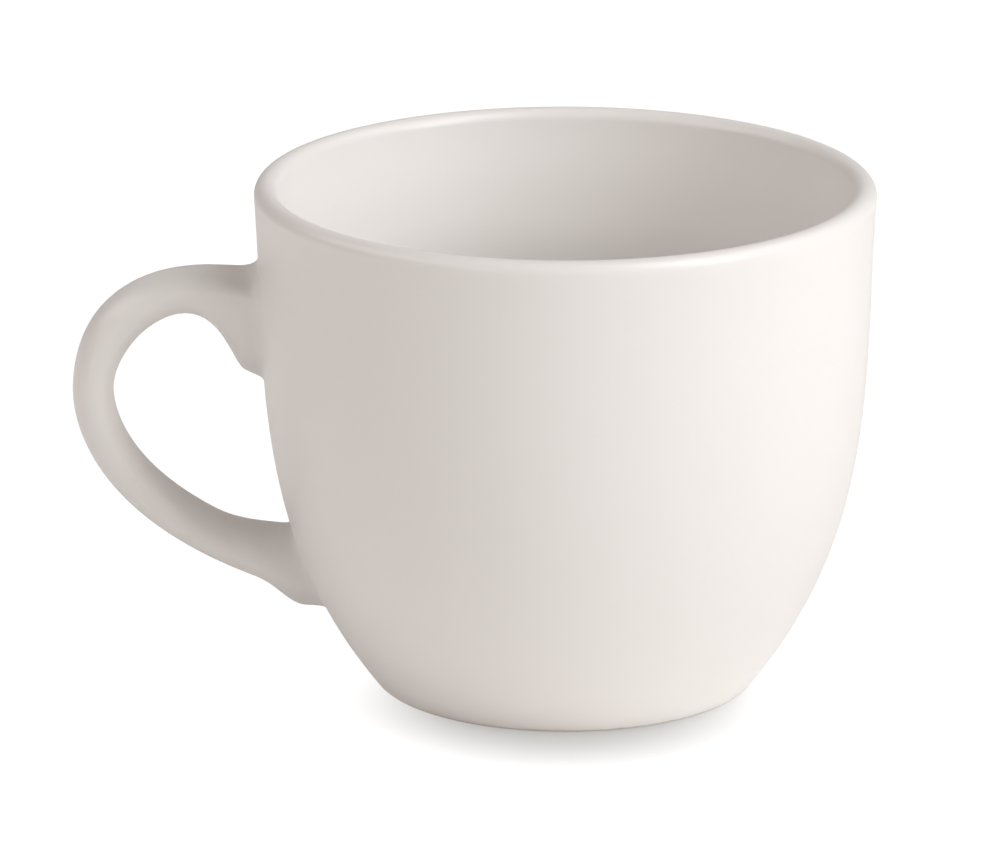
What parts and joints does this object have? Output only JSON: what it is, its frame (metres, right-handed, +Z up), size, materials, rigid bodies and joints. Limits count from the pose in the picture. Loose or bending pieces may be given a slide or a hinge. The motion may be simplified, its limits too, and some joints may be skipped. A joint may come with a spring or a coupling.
{
  "type": "espresso cup",
  "caption": "Small white porcelain cup with a rounded bowl, a soft lip, a turned foot ring and a luted loop handle for one finger, for serving espresso.",
  "frame": {"origin": "on the table under the cup, at the middle of the box that holds it: midway between the lip's far edge and the grip's outer face", "axes": "+Z up, out of the mouth; -X towards the handle, which lies in the plane Y = 0; the cup's own axis stands at X = 9.1 mm"},
  "size_m": [0.0802, 0.062, 0.0515],
  "materials": {
    "glazed_porcelain": "warm white, clear gloss glaze over vitrified porcelain, bare on the foot ring",
    "glazed_slip": "the same clear gloss glaze, pooled over the wiped fillet of slip"
  },
  "bodies": {
    "root": {"cup_body": "glazed_porcelain", "handle": "glazed_porcelain", "upper_slip_joint": "glazed_slip", "lower_slip_joint": "glazed_slip"}
  },
  "joints": []
}
